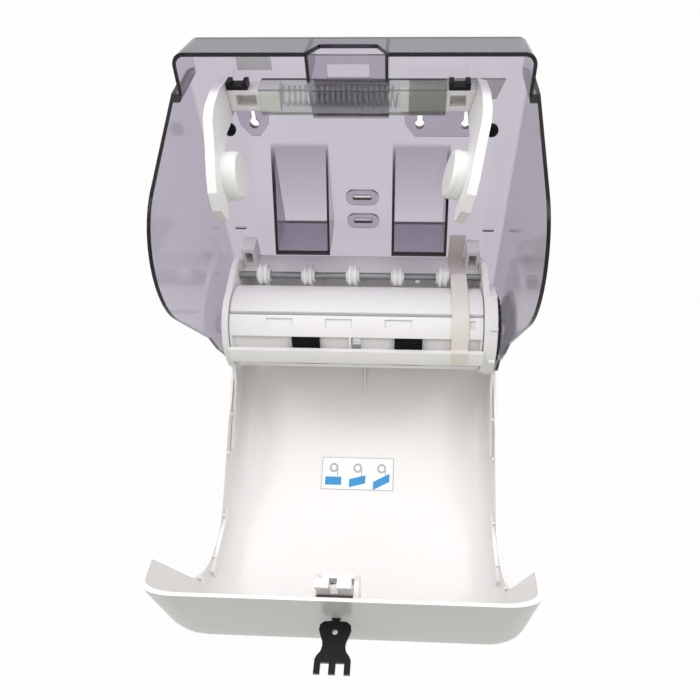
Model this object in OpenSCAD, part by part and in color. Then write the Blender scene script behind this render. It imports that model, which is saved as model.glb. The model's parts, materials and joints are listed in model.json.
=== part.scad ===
// Autocut towel dispenser, shown with its front cover swung open.
// X runs to the right, the wall is the plane y = 0 and the front is -Y, Z is up.
// The origin is midway between the two wall screws, on the wall.
// Inside each piece heights count from the cover's hinge axis, and up() lifts them into place.

/* [Case] */
// Width over the side walls
case_w = 300; // [290:1:330]
// How far the header above the cover's ears is set in on each side
header_inset = 6; // [3:1:12]
// Height of the case top above the hinge axis
case_top = 296; // [290:1:310]
// How far the case reaches below the hinge axis
case_foot = 28; // [25:1:36]
// Wall thickness of the case
wall = 3; // [2:0.5:4]
// Depth of the top strip from the wall
strip_d = 46; // [44:1:52]
// Rise of the top strip from the wall to its front
strip_rise = 6; // [0:0.5:7]
// Radius of the upper corners of the header
header_r = 10; // [6:1:12]
// Radius of the upright back corners
case_corner_r = 7; // [5:0.5:10]
// Distance of the wall screws below the case top
screw_drop = 72; // [66:1:80]
// Distance between the two outer wall screws
screw_gap = 195; // [180:1:210]
// Radius of a keyhole's round end
keyhole_r = 4.5; // [4:0.1:5.5]
// Half width of a keyhole's slot
keyhole_slot_r = 2.3; // [1.8:0.1:2.5]
// Length of a keyhole's slot above its round end
keyhole_slot_l = 6.5; // [5:0.5:7]
// Height of the raised pads on the back wall
pad_h = 2.4; // [1.5:0.1:3]

/* [Side wall edge] */
// Distance of the side wall's notch below the case top
notch_drop = 24; // [22:1:28]
// Distance of the notch from the wall
notch_y = 50; // [48:1:58]
// Radius of the round nose of the side wall
nose_r = 67; // [60:1:72]
// Distance of the nose centre from the wall
nose_y = 124; // [118:1:130]
// Height of the nose centre
nose_z = 178; // [172:1:184]
// Gap between the case edge and the closed cover
lip_gap = 0.8; // [0.5:0.1:1.5]

/* [Ramps] */
// Distance of a ramp's inner side from the middle
ramp_x = 31; // [26:1:40]
// Width of a ramp
ramp_w = 55; // [44:1:60]
// Distance of a ramp's top below the wall screws
ramp_drop = 20; // [16:1:34]
// Height of a ramp's flat underside
ramp_foot = 113; // [106:1:120]
// How far a ramp stands out from the wall
ramp_d = 56; // [40:1:60]

/* [Cover] */
// Distance of the hinge axis from the wall
hinge_y = 85; // [83:0.5:88]
// Angle that the cover is open
open_angle = 86; // [80:1:88]
// Radius of the hinge pins
hinge_pin_r = 4; // [3:0.1:4.5]
// How far the cover's top wall lies below the case top
cover_drop = 3; // [0:0.5:5]
// Distance of the cover's foremost point from the wall
cover_nose = 224; // [220:1:240]
// Height of the cover's foremost point
cover_nose_z = 185; // [176:1:196]
// Radius of the bowed front panel
front_r = 300; // [280:5:360]
// Radius between the front panel and the top wall
brow_r = 95; // [80:1:100]
// How far the cover hangs below the hinge axis
cover_foot = 32; // [28:1:34]
// Wall thickness of the cover
cover_wall = 3; // [2.4:0.2:3.6]
// Width of the rounded edge beside the front panel
edge_w = 26; // [20:1:30]
// Depth of the rounded edge beside the front panel
edge_d = 24; // [18:1:27]
// Slope of the top wall from the case down to the front
cover_slope = 6; // [0:0.5:7]
// Fall of the top wall towards its side edges
edge_drop = 7; // [4:0.5:9]

/* [Lock] */
// Distance of the lock from the middle, to the left
lock_x = 4; // [0:1:10]
// Distance of the key slot from the wall
key_y = 91; // [88:1:98]
// Thickness of the key
key_t = 3.5; // [2.5:0.1:4]
// Length of the key outside the cover
key_l = 41; // [36:1:46]
// Travel of the latch when the key pushes it in
latch_push = 4; // [3.5:0.5:4.5]

/* [Roll holder] */
// Distance of the middle of the slide rail below the case top
rail_drop = 43; // [42:1:46]
// Height of the slide rail
rail_h = 22; // [20:1:24]
// Distance of the rail's front from the wall
rail_y = 25; // [23:1:27]
// Length of the rail to the left of the middle
rail_left = 84; // [78:1:88]
// Length of the rail to the right of the middle
rail_right = 77; // [72:1:84]
// Wall thickness of the rail
rail_wall = 2; // [1.6:0.2:2.4]
// Inner face of the left arm, from the middle
arm_left = 113; // [108:1:116]
// Inner face of the right arm, from the middle
arm_right = 104; // [98:1:108]
// Thickness of an arm
arm_t = 8; // [6:0.5:9]
// Travel of each arm
arm_travel = 16; // [12:1:17]
// Radius of the hub that enters the roll's core
hub_r = 20; // [16:0.5:21]
// Length of a hub
hub_l = 12; // [10:1:16]
// Lean of the left arm
left_lean = 4; // [0:1:6]
// Lean of the right arm
right_lean = 14; // [0:1:15]
// Turns of the roll holder's spring
arm_spring_turns = 21; // [16:1:24]
// Wire radius of the roll holder's spring
arm_wire_r = 1; // [0.8:0.1:1.2]

/* [Drum] */
// Distance of the drum axis from the wall
drum_y = 85; // [84:0.5:88]
// Height of the drum axis above the hinge axis
drum_z = 40; // [40:0.5:44]
// Radius of the drum
drum_r = 43; // [41:0.5:43]
// Room between the case's left side and the drum, for the frame and the crank
drum_left_room = 19; // [19:1:24]
// Room between the case's right side and the drum, for the frame and the feed wheel
drum_right_room = 26; // [26:1:32]
// Wall thickness of the drum
drum_wall = 3; // [2.5:0.1:3.5]
// Radius of the drum's axle
axle_r = 6; // [5:0.1:7]
// Angle of the knife slot above the drum's front
slot_angle = 61.5; // [58:0.5:64]
// Angle where the recessed bar ends
bar_angle = 31; // [28:0.5:34]
// Angle where the grip tray ends
tray_angle = -20; // [-26:1:-14]
// Swing of the knife
knife_swing = 11; // [7:1:11]

/* [Pinch rollers] */
// Radius of a pinch roller
roller_r = 11.2; // [10.4:0.1:11.6]
// Angle of the pinch shaft behind the drum's top
pinch_angle = 46; // [44:0.5:48]
// Radius of the pinch shaft
pinch_r = 3.5; // [3:0.1:4]
// Spacing of the rollers
roller_pitch = 47.5; // [44:0.5:48]

/* [Clearances] */
// Running clearance on a radius
run_gap = 0.05; // [0.03:0.01:0.08]
// Gap between sliding faces
slide_gap = 0.4; // [0.3:0.05:0.6]
// Gap between the rollers and the drum
nip_gap = 0.3; // [0.3:0.05:0.6]

/* [Hidden] */
half = case_w / 2;
inner = half - wall;
header_half = half - header_inset;
screw_rise = case_top - screw_drop;
notch_z = case_top - notch_drop;
ramp_top = screw_rise - ramp_drop;
cover_top = case_top - cover_drop;
rail_z = case_top - rail_drop;
drum_left = half - drum_left_room;
drum_right = half - drum_right_room;
strip_top = case_top + strip_rise;
rim_y = strip_d + 1;
hinge = [-hinge_y, 0];
axis = [-drum_y, drum_z];
pinch_d = drum_r + roller_r + nip_gap;
pinch = axis + pinch_d * [sin(pinch_angle), cos(pinch_angle)];
frame_r = drum_r + 3;
frame_t = 6;
frame_out = half - 12;
guard_t = frame_out - frame_t - drum_right - 1;
wheel_t = 4;
wheel_r = 36;
ear_out = inner - slide_gap;
ear_t = 3.2;
rail_low = rail_z - rail_h / 2;
rail_high = rail_z + rail_h / 2;
arm_root = 30;
arm_high = rail_z + arm_root / 2;
arm_low = rail_z - arm_root / 2;
hub_pos = [-78, arm_high - 54];
smoke = [0.58, 0.56, 0.64, 0.6];
white_abs = [0.93, 0.93, 0.92];
milky = [0.9, 0.9, 0.84];
steel = [0.66, 0.67, 0.68];
black = [0.07, 0.07, 0.07];
$fn = 64;

// Shared helpers

// Lifts a piece from heights above the hinge axis to heights above the wall screws
module up() { translate([0, 0, -screw_rise]) children(); }

// Turns a piece of the cover from its closed place to its open one
module swung() {
    up() translate([0, -hinge_y, 0]) rotate([open_angle, 0, 0]) translate([0, hinge_y, 0]) children();
}

// Spans an outline drawn in (y, z) from x0 to x1
module span(x0, x1) { translate([x0, 0, 0]) rotate([90, 0, 90]) linear_extrude(x1 - x0) children(); }

// A round bar along X through the point p in (y, z)
module rod(p, r, x0, x1) { translate([x0, p[0], p[1]]) rotate([0, 90, 0]) cylinder(r = r, h = x1 - x0); }

// A box from its low corner to its high corner
module block(a, b) { translate(a) cube(b - a); }

// Turns a piece drawn along +Z to face the front, with its foot at the point p
module facing(p) { translate(p) rotate([90, 0, 0]) children(); }

// Draws its child on the left and on the right
module both_sides() { children(); mirror([1, 0, 0]) children(); }

function arc(c, r, a0, a1, n) = [for (i = [0:n]) let (a = a0 + (a1 - a0) * i / n) c + r * [cos(a), sin(a)]];
function polar(r, a) = axis + r * [-cos(a), sin(a)];

// A ring sector about the drum axis, from angle a0 to a1 above the drum's front
module sector(r0, r1, a0, a1) {
    steps = ceil((a1 - a0) / 30);
    wide = 2 * r1;
    intersection() {
        translate(axis) difference() {
            circle(r = r1, $fn = 96);
            circle(r = r0, $fn = 96);
        }
        polygon(concat([axis], [for (i = [0:steps]) polar(wide, a0 + (a1 - a0) * i / steps)]));
    }
}

// A rounded slot across X, centred on p in (x, z), cut along Y
module slot_cut(p, l, r, y0, y1) {
    for (s = [-1, 1]) facing([p[0] + s * (l / 2 - r), y1, p[1]]) cylinder(r = r, h = y1 - y0);
    block([p[0] - l / 2 + r, y0, p[1] - r], [p[0] + l / 2 - r, y1, p[1] + r]);
}

// Springs

// Centre points of a coil along +X with a straight end at each side
function coil_points(l, r, w, turns) = let (n = turns * 8, run = l - 4 * w) concat(
    [[0, r, 0]],
    [for (i = [0:n]) [2 * w + run * i / n, r * cos(45 * i), r * sin(45 * i)]],
    [[l, r, 0]]);
function coil_angle(i, n) = i == 0 || i == n + 2 ? 0 : 45 * (i - 1);
function unit(v) = v / norm(v);

// One unbroken six-sided tube along a coil
module coil(l, r, w, turns) {
    p = coil_points(l, r, w, turns);
    m = len(p);
    function tangent(i) = i == 0 || i == m - 1 ? [1, 0, 0] : unit(p[i + 1] - p[i - 1]);
    function radial(i) = let (a = coil_angle(i, m - 3)) [0, cos(a), sin(a)];
    function ring(i) = let (t = tangent(i), n = unit(radial(i) - t * (t * radial(i))), b = cross(t, n))
        [for (k = [0:5]) p[i] + w * (cos(60 * k) * n + sin(60 * k) * b)];
    points = [for (i = [0:m - 1]) each ring(i)];
    sides = [for (i = [0:m - 2]) for (k = [0:5]) let (a = 6 * i + k, b = 6 * i + (k + 1) % 6)
        each [[a, b, a + 6], [b, b + 6, a + 6]]];
    ends = [for (k = [1:4]) each [[0, k + 1, k], [6 * m - 6, 6 * m - 6 + k, 6 * m - 5 + k]]];
    polyhedron(points, [for (f = concat(sides, ends)) [f[2], f[1], f[0]]]);
}

// Least gap of a coil to itself, measured between points a turn apart
function coil_gap(l, r, w, turns) = let (p = coil_points(l, r, w, turns), m = len(p))
    min([for (i = [1:m - 10]) for (k = [6:10]) if (i + k < m - 1) norm(p[i] - p[i + k])]) - 2 * w;

// Case

// The edge of the side wall from the notch round the nose to the hinge, let out by g
function edge_curve(g) = let (c = [-nose_y, nose_z], r = nose_r + g, p = [-notch_y, notch_z + g],
    q = [-nose_y - 6 - g, nose_z - 112], dp = p - c, dq = q - c,
    a0 = atan2(dp[1], dp[0]) + acos(r / norm(dp)), a1 = 360 + atan2(dq[1], dq[0]) - acos(r / norm(dq)))
    concat([p], arc(c, r, a0, a1, 22), [q], [q + [10, -26]]);
tip_r = 21;
tip_way = [cos(152), sin(152)];
tip = hinge + tip_r * tip_way;
knuckle_r = 18;
foot_d = 62;

// Outline of a side wall in (y, z)
module side_outline() {
    polygon(concat([[0, -case_foot], [0, case_top], [-strip_d, strip_top]], edge_curve(0), [tip],
        arc(hinge, knuckle_r, 180, 290, 10), [[-foot_d, -case_foot]]));
}

module case_plan(inset) {
    r = case_corner_r - inset;
    w = half - inset;
    translate([0, 0, -case_foot - 1]) linear_extrude(strip_top + case_foot + 2) {
        for (s = [-1, 1]) translate([s * (w - r), -inset - r]) circle(r = r);
        translate([-w + r, -inset - 2 * r]) square([2 * (w - r), 2 * r]);
        translate([-w, -400]) square([2 * w, 400 - inset - r]);
    }
}

// What lies outside the rounded upper corners of the header, which run up with its top strip
module header_corners(r) {
    translate([0, 0, case_top]) rotate([-atan(strip_rise / strip_d), 0, 0]) both_sides() difference() {
        block([header_half - header_r, -400, -header_r], [half + 1, 1, header_r]);
        facing([header_half - header_r, 2, -header_r]) cylinder(r = r, h = 404);
    }
}

// The header above the notch is narrower than the rest
module header_cut() {
    both_sides() block([header_half, -400, notch_z], [half + 1, 1, strip_top + 1]);
    header_corners(header_r);
}

// Box in the header that the latch hooks into
keeper_x = [-38, 28];
keeper_y = strip_d - 3;
keeper_t = 2.5;
keeper_top = strip_top - wall + 0.6;
keeper_bend = notch_z + 6;
keeper_foot = [-rail_y - 1, rail_low - 1];
latch_t = 4;
latch_z = case_top - 8;
window_x = [-lock_x - 17, -lock_x + 17];
window_z = [latch_z - latch_push - 2, latch_z + latch_t + 1];
notch_d = 24;
notch_slant = 10;

// Notch with slanted ends in the front of the top strip, above the keeper
module strip_notch() {
    far = -strip_d + notch_d;
    near = -strip_d - 1;
    translate([0, 0, case_top - wall - 1]) linear_extrude(strip_rise + wall + 2)
        polygon([[keeper_x[0], near], [keeper_x[0] + notch_slant, far], [keeper_x[1] - notch_slant, far],
            [keeper_x[1], near]]);
}

// Side view of the keeper's front, which slants back to the rail
module keeper_outline() {
    face = -keeper_y - keeper_t;
    polygon([[-keeper_y, keeper_top], [face, keeper_top], [face, keeper_bend], keeper_foot - [keeper_t, 0],
        keeper_foot, [-keeper_y, keeper_bend]]);
}

module keyhole(x) {
    deep = wall + pad_h + 2;
    slot_end = screw_rise + keyhole_r + keyhole_slot_l;
    facing([x, 1, screw_rise]) cylinder(r = keyhole_r, h = deep);
    facing([x, 1, slot_end]) cylinder(r = keyhole_slot_r, h = deep);
    block([x - keyhole_slot_r, 1 - deep, screw_rise], [x + keyhole_slot_r, 1, slot_end]);
}

// A pad on the back wall with an outline given in (x, z)
module pad(points) { facing([0, -wall, 0]) linear_extrude(pad_h) polygon(points); }

inner_key_x = screw_gap / 2 - 42;
pad_low = screw_rise - 12;
pad_high = rail_low;

// Outline of a pad that reaches from the keyhole at x0 to the one at x1
function pad_outline(x0, x1) = [[x0 - 16, pad_high], [x0 - 13, pad_low + 11], [x0 - 4, pad_low],
    [x1 + 4, pad_low], [x1 + 13, pad_low + 11], [x1 + 16, pad_high]];

module ramp_body(inset, back) {
    slope = (ramp_d - wall) / (ramp_top - ramp_foot);
    polygon([[-back, ramp_top - inset * 2], [-ramp_d + inset * (1 + slope), ramp_foot + inset],
        [-back, ramp_foot + inset]]);
}

slots_z = [screw_rise - 78, screw_rise - 106];
slot_pad_l = 34;
slot_pad_r = 8.5;
plug_x = screw_gap / 2 + 24.5;
plug_z = screw_rise - 6;
plug_r = 6;
plug_neck_r = plug_r - 1.5;
ramp_wall = 2.5;
hook_x = half - 17;
hook_z = drum_z + 66;

module back_shell() {
    color(smoke) up() difference() {
        union() {
            difference() {
                intersection() {
                    span(-half, half) side_outline();
                    case_plan(0);
                }
                header_cut();
                difference() {
                    intersection() {
                        span(-inner, inner) polygon([[-400, -case_foot + wall], [-wall, -case_foot + wall],
                            [-wall, case_top - wall], [-strip_d, strip_top - wall],
                            [-400, strip_top - wall]]);
                        case_plan(wall);
                    }
                    both_sides() block([header_half - wall, -400, notch_z - wall], [half, 0, strip_top]);
                    header_corners(header_r - wall);
                }
                block([-inner, -400, -case_foot - 1], [inner, -foot_d + 20, -case_foot + wall + 1]);
                strip_notch();
            }
            span(keeper_x[0], keeper_x[1]) keeper_outline();
            for (x = [keeper_x[0], keeper_x[1] - keeper_t]) span(x, x + keeper_t)
                polygon([[-keeper_y, keeper_bend], [-wall, keeper_bend], [-wall, case_top - wall + 1],
                    [-keeper_y, strip_top - wall]]);
            // Pads round the wall screws
            pad(pad_outline(-screw_gap / 2, -screw_gap / 2));
            pad(pad_outline(inner_key_x, screw_gap / 2));
            for (z = slots_z) slot_cut([0, z], slot_pad_l, slot_pad_r, -wall - pad_h, -wall);
            // Ramps that hold the rest of a roll off the wall
            for (x = [-ramp_x - ramp_w, ramp_x]) span(x, x + ramp_w) ramp_body(0, wall);
        }
        for (x = [-ramp_x - ramp_w, ramp_x])
            span(x + ramp_wall, x + ramp_w - ramp_wall) ramp_body(ramp_wall, -1);
        for (x = [-screw_gap / 2, inner_key_x, screw_gap / 2]) keyhole(x);
        for (z = slots_z) slot_cut([0, z], 20, 2.2, -wall - pad_h - 1, 1);
        for (s = [-1, 1]) facing([s * plug_x, 1, plug_z]) cylinder(r = plug_neck_r, h = wall + 2);
        for (s = [-1, 1]) slot_cut([s * hook_x, hook_z], 12, 1.2, -wall - 1, 1);
        block([window_x[0], -keeper_y - keeper_t - 1, window_z[0]],
            [window_x[1], -keeper_y + 1, window_z[1]]);
        rod(hinge, hinge_pin_r + run_gap, -half - 1, -inner + 1);
        rod(hinge, hinge_pin_r + run_gap, inner - 1, half + 1);
    }
}

module wall_plugs() {
    color(black) up() for (s = [-1, 1]) facing([s * plug_x, 0, plug_z]) {
        cylinder(r = plug_neck_r, h = wall);
        translate([0, 0, wall]) difference() {
            cylinder(r = plug_r, h = 3);
            translate([0, 0, 1.5]) cylinder(r = plug_r - 2.5, h = 2);
        }
    }
}

sticker_x = -89;
sticker_drop = 19.5;
sticker_w = 30;
sticker_h = 11;
sticker_t = 0.3;

module blank_sticker() {
    color("white") up() facing([sticker_x, -wall, case_top - sticker_drop])
        linear_extrude(sticker_t) square([sticker_w, sticker_h], center = true);
}

// Roll holder

rail_back = rail_wall;
plate_end = arm_right + arm_t + arm_travel;
plate_slant = 6;
plate_low = rail_z - plate_slant;

module slide_rail() {
    color([0.55, 0.58, 0.54, 0.7]) up() difference() {
        union() {
            block([-rail_left, -rail_y, rail_low], [rail_right, -wall, rail_high]);
            // Flat plate behind the right arm's whole travel
            facing([0, -wall, 0]) linear_extrude(rail_back) polygon([[rail_right - 1, plate_low],
                [plate_end - plate_slant, plate_low], [plate_end, rail_high], [rail_right - 1, rail_high]]);
        }
        block([-rail_left - 1, -rail_y + rail_wall, rail_low + rail_wall],
            [rail_right + 1, -wall - rail_back, rail_high - rail_wall]);
    }
}

left_tongue = 17;
right_tongue = 40;
spring_left = -rail_left + left_tongue;
spring_right = rail_right - right_tongue;
coil_y = -(rail_y - rail_wall + wall + rail_back) / 2;
rail_room = min(rail_y - rail_wall - wall - rail_back, rail_h - 2 * rail_wall);
arm_coil_r = rail_room / 2 - arm_wire_r - slide_gap;
arm_spring_l = spring_right - spring_left;

module arm_spring() {
    color(steel) up() translate([spring_left, coil_y, rail_z])
        coil(arm_spring_l, arm_coil_r, arm_wire_r, arm_spring_turns);
}

hollow_rim = 6;

// A carrier runs in the rail from its inner end to the arm
module carrier(x0, x1, hollow0, hollow1) {
    g = rail_wall + slide_gap;
    difference() {
        block([x0, -rail_y + g, rail_low + g], [x1, -wall - rail_back - slide_gap, rail_high - g]);
        block([hollow0, -rail_y, rail_low + hollow_rim], [hollow1, -wall - g - 4, rail_high - hollow_rim]);
    }
}

// Leans an arm about the top of its inner face, which lies at x
module leaned(x, angle) {
    translate([x, 0, arm_high]) rotate([0, angle, 0]) translate([0, 0, -arm_high]) children();
}

// Room for an arm that is drawn for the left side
module arm_room() { block([-arm_t, -rail_y, rail_low - rail_h], [0, 0, rail_high + rail_h]); }

module left_carrier() {
    color(milky) up() difference() {
        carrier(-arm_left, spring_left, -arm_left + 8, -rail_left - 3);
        leaned(-arm_left, -left_lean) arm_room();
    }
}

module right_carrier() {
    color(milky) up() difference() {
        carrier(spring_right, arm_right, rail_right + 3, arm_right - 10);
        leaned(arm_right, right_lean) mirror([1, 0, 0]) arm_room();
    }
}

arm_outline = [[-wall - 4, arm_low + 2], [-wall - 4, arm_high - 2], [-40, arm_high + 2], [-62, arm_high],
    [-74, arm_high - 5], [-90, arm_high - 22], [-106, arm_high - 37], [-114, arm_high - 47],
    [-117, arm_high - 62], [-112, arm_high - 75], [-106, arm_high - 80], [-98, arm_high - 70],
    [-86, arm_high - 56], [-66, arm_low - 6], [-50, arm_low], [-30, arm_low]];

hub_nose = 3;
arm_recess = 3;
arm_rim = 4;

// An arm with its hub, drawn for the left side with its inner face at x = 0
module arm() {
    difference() {
        union() {
            span(-arm_t, 0) polygon(arm_outline);
            rod(hub_pos, hub_r, -arm_t, hub_l - hub_nose);
            translate([hub_l - hub_nose, hub_pos[0], hub_pos[1]]) rotate([0, 90, 0])
                cylinder(r1 = hub_r, r2 = hub_r - 2, h = hub_nose);
        }
        span(-arm_t - 1, -arm_t + arm_recess) offset(delta = -arm_rim) polygon(arm_outline);
    }
}

module left_arm() { color(white_abs) up() leaned(-arm_left, -left_lean) arm(); }
module right_arm() { color(white_abs) up() leaned(arm_right, right_lean) mirror([1, 0, 0]) arm(); }

clip_l = 18;
clip_z = rail_high - rail_wall - slide_gap;

// A black clip that rides on a carrier's upper face, from x0 to the right
module clip(x0) {
    difference() {
        block([x0, -rail_y + 4, clip_z], [x0 + clip_l, -wall - 6, clip_z + 6]);
        block([x0 + 4, -rail_y + 3, clip_z + 3], [x0 + clip_l - 4, -wall - 5, clip_z + 7]);
    }
}

module left_clip() { color(black) up() clip(-arm_left + 1); }
module right_clip() { color(black) up() clip(arm_right - 7 - clip_l); }

// Mechanism frame

deck_z = drum_z + 26;
deck_t = 4;
deck_d = 33;
panel_t = 4;
panel_foot = 2;
deck_rib_t = 3;
deck_rib_h = 14;
frame_screw_x = 60;
frame_screw_r = 2;
deck_left = frame_out - frame_t;
deck_right = drum_right + 1;

module chassis() {
    color(white_abs) up() difference() {
        union() {
            block([-deck_left, -wall - panel_t, panel_foot], [deck_right, -wall, deck_z]);
            block([-deck_left, -deck_d, deck_z], [deck_right, -wall, deck_z + deck_t]);
            for (x = [-90:45:90]) block([x - deck_rib_t / 2, -deck_d + 6, deck_z - deck_rib_h],
                [x + deck_rib_t / 2, -wall - panel_t, deck_z]);
            block([-deck_left, -deck_d, panel_foot], [deck_right, -wall - panel_t, panel_foot + deck_rib_t]);
        }
        for (s = [-1, 1]) facing([s * frame_screw_x, 0, drum_z])
            cylinder(r = frame_screw_r, h = wall + panel_t + 1);
    }
}

post_w = 14;
post_h = 24;

// An upright post on the deck beside a side frame
module post(x0) {
    z = deck_z + deck_t;
    difference() {
        block([x0, -24, z], [x0 + post_w, -wall, z + post_h]);
        block([x0 + 3, -25, z + 4], [x0 + post_w - 3, -wall - 5, z + post_h - 5]);
    }
}

module left_post() { color(white_abs) up() post(-deck_left + 0.5); }
module right_post() { color(white_abs) up() post(deck_right - post_w - 0.5); }

// Outline of a side frame: a round plate about the drum with a foot on the wall
module frame_outline() {
    translate(axis) circle(r = frame_r, $fn = 96);
    polygon([axis + [0, frame_r], pinch + [-6, 13], pinch + [11, 12], [-20, deck_z + deck_t + 6],
        [-wall, deck_z + deck_t], [-wall, panel_foot], [-40, panel_foot], axis + [10, -frame_r + 4]]);
}

bush_r = axle_r + 2.5;

module frame_plate(x0, x1) {
    difference() {
        span(x0, x1) frame_outline();
        rod(axis, bush_r, x0 - 1, x1 + 1);
        rod(pinch, pinch_r + run_gap, x0 - 1, x1 + 1);
    }
}

anchor = [-22, drum_z - 14];
anchor_r = 1.8;

module left_frame() {
    color(white_abs) up() {
        frame_plate(-frame_out, -frame_out + frame_t);
        rod(anchor, anchor_r, -frame_out - 4.6, -frame_out);
        for (a = [20, 140, 260]) difference() {
            rod(polar(frame_r - 6, a), 4, -frame_out - 1.2, -frame_out);
            rod(polar(frame_r - 6, a), 1.5, -frame_out - 2, -frame_out + 1);
        }
    }
}

module right_frame() {
    x0 = drum_right + 1;
    color(white_abs) up() {
        frame_plate(x0, x0 + frame_t);
        span(x0 + frame_t, x0 + frame_t + guard_t) translate(axis) difference() {
            circle(r = frame_r, $fn = 96);
            circle(r = frame_r - 4, $fn = 96);
        }
        for (a = [0:45:315]) rod(polar(frame_r - 0.4, a), 2.2, x0 + frame_t, x0 + frame_t + guard_t);
    }
}

module axle_bushes() {
    color(milky) up() for (x = [-frame_out, drum_right + 1]) difference() {
        rod(axis, bush_r, x, x + frame_t);
        rod(axis, axle_r + run_gap, x - 1, x + frame_t + 1);
    }
}

guide_gap = 1.6;
guide_out = 6;
guide_top = 16;
guide_low = -2;

// The fixed bar in front of the drum that turns the towel down to the outlet
module front_guide() {
    r = drum_r + guide_gap;
    color(white_abs) up() span(-deck_left, deck_right) sector(r, r + guide_out, guide_low, guide_top);
}

module frame_screws() {
    color(steel) up() for (s = [-1, 1]) facing([s * frame_screw_x, -wall, drum_z]) {
        cylinder(r = frame_screw_r, h = panel_t);
        translate([0, 0, panel_t]) cylinder(r1 = 2 * frame_screw_r, r2 = 1.5 * frame_screw_r, h = 2.4);
    }
}

// Pinch rollers

roller_w = 9;
collar_r = 7.5;
collar_w = 14;
roller_mid = -10;
roller_x = [for (i = [-2:2]) roller_mid + roller_pitch * i];
pinch_left = frame_out;
pinch_right = drum_right + 1 + frame_t;

module pinch_shaft() {
    color(steel) up() rod(pinch, pinch_r, -pinch_left, pinch_right);
}

module pinch_rollers() {
    color(white_abs) up() for (x = roller_x) difference() {
        union() {
            rod(pinch, collar_r, x - collar_w / 2, x + collar_w / 2);
            rod(pinch, roller_r, x - roller_w / 2, x + roller_w / 2);
        }
        rod(pinch, pinch_r, x - collar_w, x + collar_w);
        translate([x, pinch[0], pinch[1]]) rotate([0, 90, 0]) rotate_extrude()
            translate([roller_r, 0]) circle(r = 1.6, $fn = 24);
    }
}

// Drum

drum_in = drum_r - drum_wall;
end_t = 5;
tray_r = drum_r - 5;
tray_t = 2.5;
tray_rib = 2;

// The knife turns on a rod beside the slot, inside the drum
// Its places are told as out through the slot and over towards the drum's back
knife_in = 18;
knife_back = 26;
knife_r = 3;
blade_t = 1;
blade_h = 16;
slot_w = 2.6;
slot_out = [-cos(slot_angle), sin(slot_angle)];
slot_over = [sin(slot_angle), cos(slot_angle)];
knife_axis = axis + knife_in * slot_out + knife_back * slot_over;
blade_top = drum_r - 1.4;
knife_arm = norm([blade_top - knife_in, knife_back]);
blade_mid_angle = -atan2(knife_back, blade_top - knife_in) - blade_h / 2 / knife_arm * 180 / PI;
blade_out = -sin(blade_mid_angle) * slot_out + cos(blade_mid_angle) * slot_over;
blade_in = -cos(blade_mid_angle) * slot_out - sin(blade_mid_angle) * slot_over;
blade_mid = knife_axis - knife_arm * blade_in;

// The slot that the blade swings through keeps half its width on either side of the blade's path
slot_r = knife_arm + 0.3;
slot_reach = 10;

module drum_panel() {
    color(white_abs) up() span(-drum_left, drum_right) difference() {
        sector(drum_in, drum_r, slot_angle - slot_reach, 360 + tray_angle);
        difference() {
            sector(drum_in - 1, drum_r + 1, slot_angle - slot_reach - 1, slot_angle + slot_reach);
            translate(knife_axis) circle(r = slot_r - slot_w / 2, $fn = 96);
        }
    }
}

pocket_x = [-drum_left + 37, -34, 26, drum_right - 20];
pocket_l = [27, 27, 27, 12];

module drum_bar() {
    color(white_abs) up() difference() {
        span(-drum_left, drum_right) difference() {
            sector(drum_in, drum_r, bar_angle, slot_angle + slot_reach);
            translate(knife_axis) circle(r = slot_r + slot_w / 2, $fn = 96);
        }
        for (i = [0:3]) span(pocket_x[i], pocket_x[i] + pocket_l[i])
            sector(drum_r - 1.8, drum_r + 1, bar_angle + 13, slot_angle - 6);
    }
}

// The tray lies below the drum's round and joins the bar to the panel
module grip_tray() {
    color(white_abs) up() {
        span(-drum_left, drum_right) sector(tray_r - tray_t, tray_r, tray_angle, bar_angle);
        for (x = [-drum_left, roller_mid, drum_right - tray_rib])
            span(x, x + tray_rib) sector(tray_r - tray_t, drum_r, tray_angle, bar_angle);
    }
}

grip_x = [-68, 36];
grip_l = 28;

module rubber_grips() {
    color(black) up() for (x = grip_x) span(x, x + grip_l) difference() {
        sector(tray_r, drum_r - 0.4, tray_angle + 2, bar_angle - 1);
        for (a = [tray_angle + 6:5:bar_angle - 4]) sector(drum_r - 1, drum_r, a, a + 2);
    }
}

module drum_clip() {
    color(steel) up() span(-6, 2) difference() {
        sector(tray_r, drum_r - 1, tray_angle + 8, bar_angle - 1);
        sector(tray_r + 1.4, drum_r, tray_angle + 14, bar_angle - 6);
    }
}

// A disc that closes one end of the drum and carries the knife's rod
module drum_end(x0) {
    difference() {
        span(x0, x0 + end_t) intersection() {
            translate(axis) circle(r = drum_in, $fn = 96);
            difference() {
                translate(axis) circle(r = drum_in + 1, $fn = 96);
                sector(tray_r - tray_t, drum_r, tray_angle, bar_angle);
            }
        }
        rod(knife_axis, knife_r + run_gap, x0 - 1, x0 + end_t + 1);
    }
}

module left_drum_end() {
    color(white_abs) up() {
        drum_end(-drum_left);
        rod(axis, axle_r, -frame_out - wheel_t - 1, -drum_left);
    }
}

module right_drum_end() {
    color(white_abs) up() {
        drum_end(drum_right - end_t);
        rod(axis, axle_r, drum_right, frame_out + 1 + wheel_t);
    }
}

teeth = 24;

module feed_wheel() {
    x0 = frame_out + 1;
    color([0.2, 0.2, 0.21]) up() difference() {
        union() {
            rod(axis, wheel_r - 2.5, x0, x0 + wheel_t);
            for (i = [0:teeth - 1]) rod(polar(wheel_r - 2.5, 360 * i / teeth), 2.4, x0, x0 + wheel_t);
        }
        rod(axis, axle_r, x0 - 1, x0 + wheel_t + 1);
        translate([x0 + wheel_t - 1.2, axis[0], axis[1]]) rotate([0, 90, 0]) difference() {
            cylinder(r = wheel_r - 7, h = 2);
            translate([0, 0, -1]) cylinder(r = axle_r + 5, h = 4);
        }
    }
}

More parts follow.
